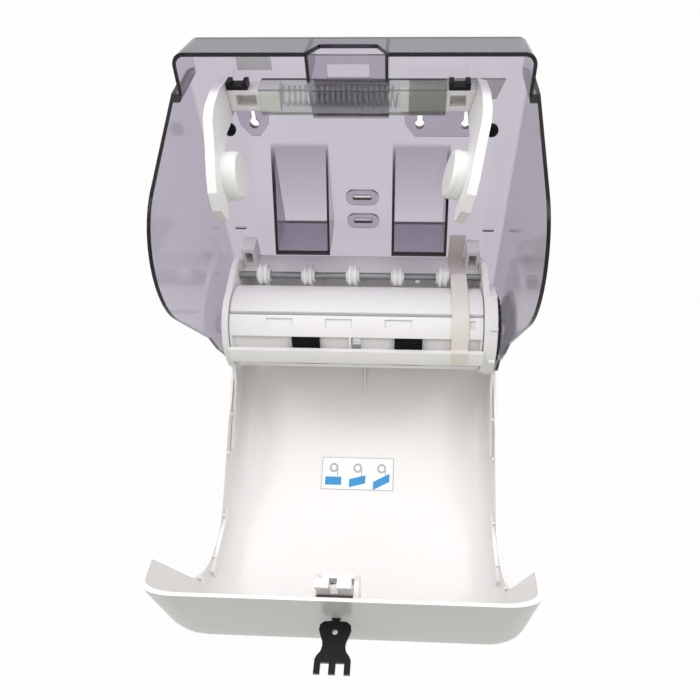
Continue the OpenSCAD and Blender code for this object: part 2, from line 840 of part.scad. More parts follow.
crank_throw = 18;
crank_t = 3.6;
crank_angle = 180;
crank_pin_r = 1.8;
crank_x = -frame_out - 1 - crank_t;
crank_pin = polar(crank_throw, crank_angle);

module crank_arm() {
    color([0.2, 0.2, 0.21]) up() difference() {
        union() {
            rod(axis, axle_r + 3, crank_x, crank_x + crank_t);
            span(crank_x, crank_x + 1.2) translate(axis) rotate(180 - crank_angle) translate([0, -4])
                square([crank_throw, 8]);
            rod(crank_pin, 4, crank_x, crank_x + 1.2);
            rod(crank_pin, crank_pin_r, crank_x, crank_x + crank_t);
        }
        rod(axis, axle_r, crank_x - 1, crank_x + crank_t + 1);
    }
}

drive_wire_r = 0.35;
drive_coil_r = 0.8;
drive_turns = 18;
drive_line = anchor - crank_pin;
drive_l = norm(drive_line) - crank_pin_r - anchor_r - 0.2;

module drive_spring() {
    at = crank_pin + unit(drive_line) * (crank_pin_r + 0.1);
    color(steel) up() translate([crank_x + crank_t / 2 + 0.8, at[0], at[1]])
        rotate([atan2(drive_line[1], drive_line[0]), 0, 0]) rotate([0, 0, 90])
            coil(drive_l, drive_coil_r, drive_wire_r, drive_turns);
}

// The packing strip lies beside the blade's right end
tape_w = 17;
tape_side = 14.2;
tape_x = [drum_right - tape_side - tape_w, drum_right - tape_side];
blade_gap = 3;
blade_x = [-drum_left + 13, tape_x[0] - blade_gap];
tooth_p = 4;
tooth_h = 3;
holder_gap = 4.3;
holder_l = blade_h - knife_arm * knife_swing * PI / 180 - holder_gap;

// Lays a flat piece in the knife's plane: x along the drum, y out through the slot
module on_knife() {
    translate([0, blade_mid[0], blade_mid[1]]) rotate([atan2(blade_out[1], blade_out[0]), 0, 0]) children();
}

module serrated_blade() {
    n = floor((blade_x[1] - blade_x[0]) / tooth_p);
    root = -blade_h / 2;
    valley = blade_h / 2 - tooth_h;
    end = blade_x[0] + tooth_p * n;
    teeth_line = [for (i = [0:n - 1]) let (x = blade_x[0] + tooth_p * i)
        each [[x, valley], [x + tooth_p / 2, valley + tooth_h]]];
    color(steel) up() on_knife() translate([0, 0, -blade_t / 2]) linear_extrude(blade_t)
        polygon(concat([[blade_x[0], root]], teeth_line, [[end, valley], [end, root]]));
}

// A lever along the drum from the knife's rod to the root of the blade
module knife_carrier() {
    root = blade_mid - blade_out * blade_h / 2 + blade_in * blade_t / 2;
    color(black) up() {
        rod(knife_axis, knife_r, -drum_left + 0.5, drum_right - 0.5);
        span(blade_x[0], blade_x[1]) polygon([root, root + blade_out * holder_l, knife_axis + blade_out * 2.5,
            knife_axis - blade_out * 2.5]);
    }
}

// Packing strip from the front guide over the drum, the pinch shaft and the deck, and up the back wall
tape_t = 0.3;
tape_gap = 0.7;
tape_seat = 0.1;
tape_rise = 30;
tape_drum_r = drum_r + tape_gap;
tape_shaft_r = pinch_r + nip_gap;
deck_edge = [-deck_d, deck_z + deck_t];
tape_wall = -wall - tape_seat;
shaft_way = pinch - axis;
edge_way = deck_edge - pinch;
tape_lift = atan2(shaft_way[1], shaft_way[0]) + acos((tape_drum_r - tape_shaft_r) / pinch_d);
tape_drop = atan2(edge_way[1], edge_way[0]) + acos(tape_shaft_r / norm(edge_way));

// One face of the strip, at height t above what it lies on
function tape_line(t) = let (r = drum_r + guide_gap + guide_out + tape_seat + t, a = 180 - guide_top,
    n = t * [sin(guide_top), cos(guide_top)])
    concat(arc(axis, r, 180, a + 4, 2), [polar(r, guide_top) + n, polar(tape_drum_r + t, guide_top) + n],
        arc(axis, tape_drum_r + t, a - 5, tape_lift, 14),
        arc(pinch, tape_shaft_r + t, tape_lift, tape_drop, 4),
        [deck_edge + [0, t], [tape_wall - t, deck_edge[1] + t], [tape_wall - t, deck_edge[1] + tape_rise]]);

module transit_tape() {
    upper = tape_line(tape_t);
    color([0.88, 0.85, 0.74]) up() span(tape_x[0], tape_x[1])
        polygon(concat(tape_line(0), [for (i = [len(upper) - 1:-1:0]) upper[i]]));
}

// Cover

front_c = [front_r - cover_nose, cover_nose_z];

// Side view of the closed cover's outside, in (y, z), with the top lowered and the front set back
function cover_profile(drop, back, thin) = let (r = front_r - thin, b = brow_r - thin,
    top = cover_top - drop - thin, c = front_c + [back, 0], bz = top - b,
    by = c[0] - sqrt(pow(r - b, 2) - pow(bz - c[1], 2)),
    a0 = atan2(bz - c[1], by - c[0]), foot = -cover_foot - (thin > 0 ? 1 : 0),
    a1 = 180 + asin((c[1] - foot) / r), crown = [by, bz] + b * [-sin(cover_slope), cos(cover_slope)])
    concat([[0, crown[1] - crown[0] * tan(cover_slope)]], arc([by, bz], b, 90 + cover_slope, a0, 10),
        arc(c, r, a0 + (a1 - a0) / 14, a1, 13), [[0, foot]]);

module cover_form(thin) {
    edge_n = 5;
    slice = 0.4;
    flat = half - thin - edge_w;
    hull() {
        both_sides() for (i = [0:edge_n - 1])
            let (a = 90 * i / edge_n, x = flat + edge_w * cos(a), set = 1 - sin(a))
                span(x - slice, x) polygon(cover_profile(edge_drop * set, edge_d * set, thin));
        span(-flat, flat) polygon(cover_profile(0, 0, thin));
    }
}

// Distance from the wall of the cover's side walls below the hinge
skirt_y = hinge_y + cover_foot;

// Room that the case takes, which the cover is cut back from
module case_room() {
    r = tip_r + lip_gap;
    low = -2 * cover_foot;
    polygon(concat([[1, low], [1, case_top + 40], [-rim_y, case_top + 40]], edge_curve(lip_gap),
        [hinge + r * tip_way], arc(hinge, r, 160, 200, 4), [[-skirt_y, -14], [-skirt_y, low]]));
}

ear_outline = concat(arc(hinge, 8, -90, 90, 12),
    [for (p = [[-27, 22], [-75, 84], [-83, 78], [-65, 44], [-43, 2], [-33, -8]]) hinge + p]);
ear_web = [for (p = [[-65, 44], [-41, 10], [-31, 20], [-75, 80]]) hinge + p];
rib_z = [136, 214];
rib_y = [-203, -192.5];
foot_rib_top = 6;
foot_rib_d = 8;
foot_rib_t = 3;

// Where the front panel lies at height z, with its face let in by thin
function front_face(z, thin) = front_c[0] - sqrt(pow(front_r - thin, 2) - pow(z - front_c[1], 2));

// A rib inside the foot of the front panel that fades out upwards
module foot_rib() {
    high = foot_rib_top + cover_foot;
    steps = [for (i = [0:4]) foot_rib_top - high * i / 4];
    fade = [for (i = [4:-1:1]) foot_rib_d * i / 4];
    polygon(concat([for (z = steps) [front_face(z, cover_wall / 2), z]],
        [for (i = [0:3]) [front_face(steps[4 - i], cover_wall) + fade[i], steps[4 - i]]]));
}

module front_cover() {
    color(white_abs) swung() difference() {
        union() {
            difference() {
                cover_form(0);
                cover_form(cover_wall);
                span(-half - 1, half + 1) case_room();
            }
            both_sides() {
                span(ear_out - ear_t, ear_out) polygon(ear_outline);
                span(ear_out - ear_t, inner + 1) polygon(ear_web);
                block([inner - 4, rib_y[0], rib_z[0]], [inner + 1, rib_y[1], rib_z[1]]);
            }
            span(-foot_rib_t / 2, foot_rib_t / 2) foot_rib();
        }
        both_sides() rod(hinge, hinge_pin_r, ear_out - ear_t - 1, ear_out + 1);
        block([-lock_x - 4, -key_y - key_t / 2 - slide_gap, key_z - 2 * cover_wall],
            [-lock_x + 4, -key_y + key_t / 2 + slide_gap, key_z + cover_wall]);
    }
}

module hinge_pins() {
    color(steel) swung() both_sides() rod(hinge, hinge_pin_r, ear_out - ear_t, half - 0.5);
}

label_x = -5;
label_z = 83;
label_w = 84;
label_h = 36;
label_lift = 0.4;

module instruction_label() {
    steps = [for (i = [-6:6]) label_z + label_h * i / 12];
    color("white") swung() span(label_x - label_w / 2, label_x + label_w / 2)
        polygon(concat([for (z = steps) [front_face(z, cover_wall + label_lift), z]],
            [for (i = [12:-1:0]) [front_face(steps[i], cover_wall + label_lift + sticker_t), steps[i]]]));
}

lock_w = 36;
cheek_t = 4;
bridge_t = 3;
lock_back = key_y + 8;
lock_front = rim_y + 15;
bridge_end = key_y - 19;
lock_low = latch_z - 18;
roof_t = cover_wall / cos(cover_slope);
brow = [front_c[0] - sqrt(pow(front_r - brow_r, 2) - pow(cover_top - brow_r - cover_nose_z, 2)),
    cover_top - brow_r];

crown = brow + brow_r * [-sin(cover_slope), cos(cover_slope)];

// Height of the top wall's outer face at the place y
function roof(y) = crown[1] + (y - crown[0]) * tan(cover_slope);
key_z = roof(-key_y);
cheek_outline = [[-lock_back, lock_low], [-bridge_end, lock_low], [-lock_front, latch_z - 8],
    [-lock_front, roof(-lock_front) - roof_t], [-lock_back, roof(-lock_back) - roof_t]];

// Two cheeks, a bridge and a back wall under the cover's top wall that guide the latch
module lock_housing() {
    side = lock_w / 2;
    color(white_abs) swung() translate([-lock_x, 0, 0]) {
        for (x = [-side, side - cheek_t]) span(x, x + cheek_t) polygon(cheek_outline);
        block([-side, -lock_back, lock_low], [side, -bridge_end, lock_low + bridge_t]);
        block([-side, -lock_back, lock_low], [side, -lock_back + bridge_t, roof(-lock_back) - roof_t]);
    }
}

latch_w = lock_w - 2 * cheek_t - 2 * slide_gap;
latch_sink = 7;
prong_gap = 6;
latch_back = lock_back - bridge_t - slide_gap;
hook_h = 3.5;
hook_y = keeper_y - slide_gap;
latch_tip = keeper_y - 3;

latch_top = latch_z + latch_t;
hook_top = latch_top + hook_h;

// Side view of the latch, whose back lies lower, under the key
latch_outline = [[-latch_back, latch_z - latch_sink], [-lock_front - 4, latch_z - latch_sink],
    [-lock_front + 4, latch_z], [-latch_tip, latch_z], [-latch_tip, hook_top], [-hook_y, hook_top],
    [-hook_y, latch_top], [-lock_front + 2, latch_top], [-lock_front - 6, latch_top - latch_sink],
    [-latch_back, latch_top - latch_sink]];

// The latch ends in two prongs
module latch() {
    color(white_abs) swung() difference() {
        span(-lock_x - latch_w / 2, -lock_x + latch_w / 2) polygon(latch_outline);
        block([-lock_x - prong_gap / 2, -lock_front + 4, latch_z - 1],
            [-lock_x + prong_gap / 2, 0, hook_top + 1]);
    }
}

latch_wire_r = 0.5;
latch_coil_r = 4;
latch_turns = 3;
latch_spring_l = latch_z - latch_sink - lock_low - bridge_t;

module latch_spring() {
    color(steel) swung() translate([-lock_x, -bridge_end - 8, lock_low + bridge_t]) rotate([0, -90, 0])
        coil(latch_spring_l, latch_coil_r, latch_wire_r, latch_turns);
}

key_seat = 0.3;
key_neck = 9.5;
key_bit = 8;
key_hole_r = 2.2;

// Right half of the key from its neck up to its three bits
key_side = [[3, -key_neck], [3, 2], [9, 2.6], [12, 5], [12.6, 9], [11, 13.5], [9.2, 17.5],
    [8.8, key_l - 20], [9.8, key_l - 16], [12.6, key_l - 12.5], [13.7, key_l - 10], [13.7, key_l],
    [9, key_l], [9, key_l - key_bit], [2.5, key_l - key_bit], [2.5, key_l]];

module key() {
    other = [for (i = [len(key_side) - 1:-1:0]) [-key_side[i][0], key_side[i][1]]];
    color(black) swung() facing([-lock_x, -key_y + key_t / 2, key_z + key_seat]) linear_extrude(key_t)
        difference() {
            polygon(concat(key_side, other));
            translate([0, 10.5]) circle(r = key_hole_r);
        }
}

echo(arm_spring_gap = coil_gap(arm_spring_l, arm_coil_r, arm_wire_r, arm_spring_turns),
    drive_spring_gap = coil_gap(drive_l, drive_coil_r, drive_wire_r, drive_turns),
    latch_spring_gap = coil_gap(latch_spring_l, latch_coil_r, latch_wire_r, latch_turns));

back_shell();
wall_plugs();
blank_sticker();
slide_rail();
arm_spring();
left_carrier();
left_arm();
left_clip();
right_carrier();
right_arm();
right_clip();
chassis();
left_post();
right_post();
left_frame();
right_frame();
axle_bushes();
front_guide();
frame_screws();
pinch_shaft();
pinch_rollers();
drum_panel();
drum_bar();
grip_tray();
rubber_grips();
drum_clip();
left_drum_end();
right_drum_end();
feed_wheel();
crank_arm();
drive_spring();
knife_carrier();
serrated_blade();
transit_tape();
front_cover();
hinge_pins();
instruction_label();
lock_housing();
latch();
latch_spring();
key();
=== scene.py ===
"""Looks of an autocut towel dispenser: finishes, printed label, trim, stage and camera."""
import json
import math

import bpy
from bpy.props import FloatProperty, FloatVectorProperty, PointerProperty
from mathutils import Matrix, Vector

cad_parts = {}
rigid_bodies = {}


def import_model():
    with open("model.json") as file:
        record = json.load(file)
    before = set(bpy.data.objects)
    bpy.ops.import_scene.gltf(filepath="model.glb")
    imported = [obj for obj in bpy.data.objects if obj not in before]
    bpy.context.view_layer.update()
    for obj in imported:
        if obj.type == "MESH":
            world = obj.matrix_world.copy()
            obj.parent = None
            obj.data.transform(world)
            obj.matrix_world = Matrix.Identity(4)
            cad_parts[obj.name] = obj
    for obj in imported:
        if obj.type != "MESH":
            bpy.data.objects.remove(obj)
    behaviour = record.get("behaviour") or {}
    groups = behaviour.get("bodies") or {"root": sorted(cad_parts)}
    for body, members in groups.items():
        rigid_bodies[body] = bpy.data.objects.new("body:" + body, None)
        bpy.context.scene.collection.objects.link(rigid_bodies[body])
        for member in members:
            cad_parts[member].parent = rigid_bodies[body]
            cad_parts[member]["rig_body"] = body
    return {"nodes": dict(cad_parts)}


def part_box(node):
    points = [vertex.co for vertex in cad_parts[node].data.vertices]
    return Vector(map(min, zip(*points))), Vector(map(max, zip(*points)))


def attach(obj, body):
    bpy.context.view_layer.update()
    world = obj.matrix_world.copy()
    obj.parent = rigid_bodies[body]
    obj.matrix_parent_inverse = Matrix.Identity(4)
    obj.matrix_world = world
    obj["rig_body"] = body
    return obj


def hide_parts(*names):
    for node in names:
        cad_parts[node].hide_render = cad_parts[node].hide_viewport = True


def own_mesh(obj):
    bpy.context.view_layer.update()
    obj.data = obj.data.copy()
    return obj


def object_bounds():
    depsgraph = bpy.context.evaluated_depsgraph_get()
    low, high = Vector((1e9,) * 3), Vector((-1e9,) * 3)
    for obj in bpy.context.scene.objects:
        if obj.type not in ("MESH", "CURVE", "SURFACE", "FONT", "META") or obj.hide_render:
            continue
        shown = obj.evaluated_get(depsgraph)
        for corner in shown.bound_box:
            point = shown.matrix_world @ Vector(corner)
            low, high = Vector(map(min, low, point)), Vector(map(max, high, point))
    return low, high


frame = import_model()
CAD_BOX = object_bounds()
NODES = frame["nodes"]

bl_info = {
    "name": "Autocut Towel Dispenser",
    "version": (1, 0, 0),
    "blender": (4, 5, 0),
    "location": "3D View > Sidebar > Dispenser",
    "description": "Finishes, printed label, trim, stage and camera of a wall towel dispenser",
    "category": "Object",
}

# Camera: picture size in pixels, sensor width in millimetres, nearest distance in metres
PHOTO_SIZE = 700
SENSOR_WIDTH = 36.0
NEAR_CLIP = 0.01

# Tones in the clear plastics, with painted shade on the rail, and the places on the part where they
# change
CLEAR_TONE = (0.97, 0.965, 0.975)
KEEPER_TONE = (0.75, 0.75, 0.755)
KEEPER_Z = (0.016, 0.044)
KEEPER_Y = -0.024
RAIL_PALE = (0.95, 0.96, 0.94)
# Painted shade: the rail greyer at its right end, and where that starts
RAIL_END_SHADE = (0.52, 0.53, 0.505)
# Painted shade at the back of the rail, behind the middle of the spring, and the span it covers
RAIL_PAINTED_SHADE = (0.03, 0.03, 0.03)
RAIL_MIDDLE_X = (-0.038, 0.028)
RAIL_BACK_Y = -0.0065
RAIL_END_SHADE_X = 0.045
RAIL_DENSITY = 50.0
CLEAR_IOR = 1.46
SHADOW_BASE = 0.88
SHADOW_TINT = 0.1

# Moulded surfaces: scale of the mottle, depth of the grain, samples at edges, colour of the painted
# shade in seams
MOTTLE_SCALE = 14.0
GRAIN_HEIGHT = 0.0004
EDGE_SAMPLES = 6
SEAM_SHADE = (0.55, 0.55, 0.57)

# Print on the label, in shares of one tile's width and of the label's height
TILES = 3.0
FOOT_ACROSS = (-0.34, 0.34)
FOOT_ALONG = (0.14, 0.4)
FOOT_SLANT = 0.2
ROLL_ALONG = 0.68
ROLL_RING = (0.08, 0.15)
ROLL_SQUEEZE = 0.8
SHEET_ACROSS = (0.14, 0.19)
SHEET_ALONG = (0.42, 0.68)
FRAME_ACROSS = 0.49
FRAME_ALONG = 0.48

# Gussets: places along the cover, bite into its wall, start below the rim
GUSSET_Y = (-0.145, -0.184, -0.243, -0.29, -0.324)
WALL_THICK = 0.003
WALL_BITE = 0.0005
RIM_STEP = 0.001
RIM_TRIES = 20
BEVEL_PARTS = 5

# Stand-in copies: points behind the plane lie on the case wall
WALL_FACE_Y = -0.00305
WALL_NODES = ("slide_rail", "blank_sticker", "chassis", "left_post", "right_post", "transit_tape")
WELD = 1e-6

# Studio: floor, sky and lamps, each lamp as its place and its size
FLOOR_SPAN = 14.0
FLOOR_ROUGHNESS = 0.8
FLOOR_WHITE = 0.98
SKY_COLOUR = (1.0, 0.985, 0.975)
SKY_RISE = 3.0
SKY_LEAN = 0.6
SKY_START = 0.9
LAMP_AIM = Vector((0.0, -0.16, -0.12))
TOP_LAMP = ((0.0, -0.24, 1.3), (1.4, 0.5))
LEFT_LAMP = ((-0.9, -0.25, 0.7), (0.5, 0.3))
RIGHT_LAMP = ((0.9, -0.25, 0.7), (0.5, 0.3))


def colour(name, description, default):
    """A colour that a user would change."""
    return FloatVectorProperty(name=name, description=description, default=default,
                               subtype="COLOR", size=3, min=0.0, max=1.0)


def length(name, description, default):
    """A size in metres that a user would change."""
    return FloatProperty(name=name, description=description, default=default,
                         subtype="DISTANCE", unit="LENGTH", min=0.0, precision=5)


def angle(name, description, degrees):
    """An angle that a user would change."""
    return FloatProperty(name=name, description=description, default=math.radians(degrees),
                         subtype="ANGLE")


def amount(name, description, default, **kind):
    """An amount that a user would change, with its subtype where one fits."""
    return FloatProperty(name=name, description=description, default=default, min=0.0, **kind)


class DispenserFinishes(bpy.types.PropertyGroup):
    """Colours of the plastics, the metal and the print."""

    smoke: colour("Smoked shell", "What the tinted case lets through", (0.25, 0.17, 0.33))
    rail: colour("Rail", "What the grey-green rail lets through", (0.5, 0.56, 0.48))
    cover: colour("Cover", "Glossy white of the cover", (0.8, 0.78, 0.775))
    white: colour("Frame white", "Moulded white of the arms and the frame", (0.91, 0.9, 0.895))
    drum: colour("Drum white", "White of the drum, a little greyer", (0.86, 0.855, 0.85))
    milky: colour("Milky", "Natural plastic of the carriers", (0.9, 0.89, 0.85))
    black: colour("Black", "Black plastic of the key and the clips", (0.006, 0.006, 0.0065))
    wheel: colour("Feed wheel", "Dark grey of the wheel and the crank", (0.03, 0.03, 0.034))
    rubber: colour("Rubber", "Black of the grip pads", (0.006, 0.006, 0.006))
    steel: colour("Steel", "Springs, pins and screws", (0.82, 0.83, 0.83))
    shaft: colour("Shaft", "Dull steel of the pinch shaft", (0.34, 0.36, 0.36))
    # The knife is steel, darkened here as painted shade in its slot
    blade: colour("Blade", "Dark steel of the knife in its slot", (0.07, 0.07, 0.075))
    paper: colour("Paper", "Ground of the label and the sticker", (0.88, 0.88, 0.88))
    ink: colour("Ink", "Blue of the printed pictograms", (0.022, 0.27, 0.6))
    line: colour("Line", "Grey of the printed lines", (0.42, 0.43, 0.45))
    tape: colour("Tape", "Cream of the packing strip", (0.93, 0.885, 0.82))


class DispenserSizes(bpy.types.PropertyGroup):
    """Sizes of the surface detail."""

    edge_round: length("Edge rounding", "Radius at which moulded edges catch the light", 0.0006)
    grain_scale: amount("Grain scale", "Fineness of the moulded grain, per metre", 1400.0)
    smoke_density: amount("Smoke density", "Absorption of the tinted case, per metre", 215.0)
    smooth_angle: angle("Smooth angle", "Edges below this angle are shaded smooth", 25.0)
    seat_gap: length("Seat gap", "Gap between the case wall and what sits on it", 0.00015)
    gusset_leg: length("Gusset leg", "How far a gusset reaches in from the side wall", 0.0045)
    gusset_drop: length("Gusset depth", "How far a gusset runs down from the rim", 0.012)
    gusset_thick: length("Gusset thickness", "Thickness of a gusset", 0.0016)


class DispenserView(bpy.types.PropertyGroup):
    """Camera and light."""

    place: FloatVectorProperty(name="Camera place", description="Where the camera stands",
                               subtype="TRANSLATION", unit="LENGTH", size=3,
                               default=(0.0419, -0.5358, 0.2706))
    elevation: angle("Elevation", "How far the camera looks down", 50.28)
    yaw: angle("Yaw", "Turn of the camera to the right", -3.53)
    roll: angle("Roll", "Tilt of the camera about its own axis", -1.54)
    focal: amount("Focal length", "Focal length in pixels of the photograph", 595.9,
                  subtype="PIXEL")
    centre_x: amount("Centre across", "Optical centre from the left, in pixels", 376.1,
                     subtype="PIXEL")
    centre_y: amount("Centre down", "Optical centre from the top, in pixels", 380.6,
                     subtype="PIXEL")
    floor_drop: length("Floor", "How far the floor lies below the dispenser", 0.35)
    key_power: amount("Top light", "Power of the overhead lamp in watts", 3.2, subtype="POWER")
    side_power: amount("Side lights", "Power of each side lamp in watts", 3.0, subtype="POWER")
    sky_level: amount("Sky level", "Brightness of the surroundings", 1.38)
    ground: colour("Ground", "Shade that comes up from below", (0.24, 0.25, 0.215))


def finishes():
    """The scene's colours."""
    return bpy.context.scene.dispenser_finishes


def sizes():
    """The scene's detail sizes."""
    return bpy.context.scene.dispenser_sizes


# Shader building blocks

def new_group(name, inputs, outputs):
    """An empty shader node group with named sockets, and its input and output nodes."""
    group = bpy.data.node_groups.new(name, "ShaderNodeTree")
    for label, kind, default in inputs:
        socket = group.interface.new_socket(label, in_out="INPUT", socket_type=kind)
        if default is not None:
            socket.default_value = default
    for label, kind in outputs:
        group.interface.new_socket(label, in_out="OUTPUT", socket_type=kind)
    return group, group.nodes.new("NodeGroupInput"), group.nodes.new("NodeGroupOutput")


def feed(tree, socket, value):
    """Links a socket to another one, or sets it to a plain colour or number."""
    if hasattr(value, "is_linked"):
        tree.links.new(value, socket)
    elif socket.type == "RGBA":
        socket.default_value = (*value, 1.0)
    else:
        socket.default_value = value


def maths(tree, operation, first, second=None, clamp=False):
    """A Math node whose inputs are sockets or plain numbers."""
    node = tree.nodes.new("ShaderNodeMath")
    node.operation = operation
    node.use_clamp = clamp
    for socket, value in zip(node.inputs, (first, second)):
        if value is not None:
            feed(tree, socket, value)
    return node.outputs[0]


def noise(tree, vector, scale, detail):
    """A Noise node on a coordinate, with its scale as a number or a socket."""
    node = tree.nodes.new("ShaderNodeTexNoise")
    feed(tree, node.inputs["Vector"], vector)
    feed(tree, node.inputs["Scale"], scale)
    feed(tree, node.inputs["Detail"], detail)
    return node.outputs["Fac"]


def mixed(tree, fac, first, second, blend="MIX"):
    """A colour Mix node whose inputs are sockets or plain values."""
    node = tree.nodes.new("ShaderNodeMix")
    node.data_type = "RGBA"
    node.blend_type = blend
    for key, value in ((0, fac), (6, first), (7, second)):
        feed(tree, node.inputs[key], value)
    return node.outputs[2]


def either_shader(tree, fac, first, second, out):
    """Sends one of two shaders, or a mix of them, to an output."""
    node = tree.nodes.new("ShaderNodeMixShader")
    tree.links.new(fac, node.inputs[0])
    tree.links.new(first.outputs[0], node.inputs[1])
    tree.links.new(second.outputs[0], node.inputs[2])
    tree.links.new(node.outputs[0], out.inputs["Surface"])


def between(tree, value, low, high):
    """1 where a value lies between two bounds."""
    return maths(tree, "MULTIPLY", maths(tree, "GREATER_THAN", value, low),
                 maths(tree, "LESS_THAN", value, high))


def object_axes(tree):
    """The x, y and z sockets of a piece's own coordinates."""
    place = tree.nodes.new("ShaderNodeTexCoord").outputs["Object"]
    parts = tree.nodes.new("ShaderNodeSeparateXYZ")
    tree.links.new(place, parts.inputs[0])
    return parts.outputs


def moulded_surface():
    """Mottled colour, uneven gloss, fine grain and rounded edges of a moulded plastic."""
    found = bpy.data.node_groups.get("moulded_surface")
    if found:
        return found
    tree, given, made = new_group(
        "moulded_surface",
        [("Colour", "NodeSocketColor", None), ("Mottle", "NodeSocketFloat", 0.04),
         ("Roughness", "NodeSocketFloat", 0.4), ("Spread", "NodeSocketFloat", 0.1),
         ("Grain", "NodeSocketFloat", 1400.0), ("Depth", "NodeSocketFloat", 0.03),
         ("Round", "NodeSocketFloat", 0.0006)],
        [("Colour", "NodeSocketColor"), ("Roughness", "NodeSocketFloat"),
         ("Normal", "NodeSocketVector")])
    place = tree.nodes.new("ShaderNodeTexCoord").outputs["Object"]
    broad = maths(tree, "SUBTRACT", noise(tree, place, MOTTLE_SCALE, 3.0), 0.5)
    fine = noise(tree, place, given.outputs["Grain"], 2.0)
    shade = maths(tree, "MULTIPLY", broad, given.outputs["Mottle"])
    tone = tree.nodes.new("ShaderNodeHueSaturation")
    tree.links.new(given.outputs["Colour"], tone.inputs["Color"])
    tree.links.new(maths(tree, "ADD", shade, 1.0), tone.inputs["Value"])
    gloss = maths(tree, "MULTIPLY", broad, given.outputs["Spread"])
    rough = maths(tree, "ADD", given.outputs["Roughness"], gloss, clamp=True)
    edge = tree.nodes.new("ShaderNodeBevel")
    edge.samples = EDGE_SAMPLES
    tree.links.new(given.outputs["Round"], edge.inputs["Radius"])
    bump = tree.nodes.new("ShaderNodeBump")
    bump.inputs["Distance"].default_value = GRAIN_HEIGHT
    tree.links.new(given.outputs["Depth"], bump.inputs["Strength"])
    tree.links.new(fine, bump.inputs["Height"])
    tree.links.new(edge.outputs["Normal"], bump.inputs["Normal"])
    tree.links.new(tone.outputs["Color"], made.inputs["Colour"])
    tree.links.new(rough, made.inputs["Roughness"])
    tree.links.new(bump.outputs["Normal"], made.inputs["Normal"])
    return tree


def seam_shade():
    """Painted shade: colour that darkens a little in seams and inner corners, where shadow gathers.
    """
    found = bpy.data.node_groups.get("seam_shade")
    if found:
        return found
    tree, given, made = new_group(
        "seam_shade",
        [("Colour", "NodeSocketColor", None), ("Reach", "NodeSocketFloat", 0.006),
         ("Amount", "NodeSocketFloat", 0.35)],
        [("Colour", "NodeSocketColor")])
    hollow = tree.nodes.new("ShaderNodeAmbientOcclusion")
    hollow.samples = EDGE_SAMPLES
    tree.links.new(given.outputs["Reach"], hollow.inputs["Distance"])
    closed = maths(tree, "SUBTRACT", 1.0, hollow.outputs["AO"])
    dark = mixed(tree, 1.0, given.outputs["Colour"], SEAM_SHADE, "MULTIPLY")
    share = maths(tree, "MULTIPLY", closed, given.outputs["Amount"], clamp=True)
    tree.links.new(mixed(tree, share, given.outputs["Colour"], dark), made.inputs["Colour"])
    return tree


def place_group(tree, group, **values):
    """Places a node group in a material and sets its inputs by name."""
    node = tree.nodes.new("ShaderNodeGroup")
    node.node_tree = group
    for label, value in values.items():
        feed(tree, node.inputs[label], value)
    return node


def plastic(name, base, roughness=0.4, spread=0.12, mottle=0.04, depth=0.03, seams=0.35, **plain):
    """A moulded plastic. Its base is a colour, or a function that draws one.
    What is left in plain goes straight to the shader's own sockets."""
    material = bpy.data.materials.new(name)
    material.use_nodes = True
    tree = material.node_tree
    shader = tree.nodes["Principled BSDF"]
    ground = base(tree) if callable(base) else base
    surface = place_group(tree, moulded_surface(), Colour=ground, Mottle=mottle,
                          Roughness=roughness, Spread=spread, Grain=sizes().grain_scale,
                          Depth=depth, Round=sizes().edge_round)
    # Painted shade in seams and inner corners, as much as seams asks for
    seam_shaded = place_group(tree, seam_shade(), Colour=surface.outputs["Colour"], Amount=seams)
    tree.links.new(seam_shaded.outputs["Colour"], shader.inputs["Base Color"])
    tree.links.new(surface.outputs["Roughness"], shader.inputs["Roughness"])
    tree.links.new(surface.outputs["Normal"], shader.inputs["Normal"])
    for label, value in plain.items():
        shader.inputs[label.replace("_", " ")].default_value = value
    return material


def see_through(name, tint, density, tone, roughness=0.1, **plain):
    """A tinted clear plastic that darkens with the depth of plastic that the light crosses."""
    material = plastic(name, tone, roughness=roughness, spread=0.05, mottle=0.02, depth=0.006,
                       seams=0.0, Transmission_Weight=1.0, IOR=CLEAR_IOR, **plain)
    tree = material.node_tree
    out = tree.nodes["Material Output"]
    clear = tree.nodes.new("ShaderNodeBsdfTransparent")
    feed(tree, clear.inputs["Color"], [SHADOW_BASE + SHADOW_TINT * c for c in tint])
    rays = tree.nodes.new("ShaderNodeLightPath")
    either_shader(tree, rays.outputs["Is Shadow Ray"], tree.nodes["Principled BSDF"], clear, out)
    fog = tree.nodes.new("ShaderNodeVolumeAbsorption")
    feed(tree, fog.inputs["Color"], tint)
    feed(tree, fog.inputs["Density"], density)
    tree.links.new(fog.outputs[0], out.inputs["Volume"])
    return material


def metal(name, base, roughness=0.28):
    """Ground steel with fine scratches."""
    return plastic(name, base, roughness=roughness, spread=0.2, mottle=0.12, depth=0.05,
                   seams=0.3, Metallic=1.0)


def shell_tone(tree):
    """Clear shell, darker on the keeper's slanted front before the rail."""
    x, y, z = object_axes(tree)
    before_rail = maths(tree, "MULTIPLY", between(tree, z, *KEEPER_Z),
                        maths(tree, "LESS_THAN", y, KEEPER_Y))
    keeper = maths(tree, "MULTIPLY", between(tree, x, *RAIL_MIDDLE_X), before_rail)
    return mixed(tree, keeper, CLEAR_TONE, KEEPER_TONE)


def rail_tone(tree):
    """Pale rail with painted shade: dark at the back behind the middle of the spring, and greyer at
    its right end.
    """
    x, y = object_axes(tree)[:2]
    # Painted shade at the back of the rail behind the middle of the spring
    dark = maths(tree, "MULTIPLY", between(tree, x, *RAIL_MIDDLE_X),
                 maths(tree, "GREATER_THAN", y, RAIL_BACK_Y))
    # Painted shade: the rail greyer at its right end
    right_end = maths(tree, "GREATER_THAN", x, RAIL_END_SHADE_X)
    return mixed(tree, dark, mixed(tree, right_end, RAIL_PALE, RAIL_END_SHADE), RAIL_PAINTED_SHADE)


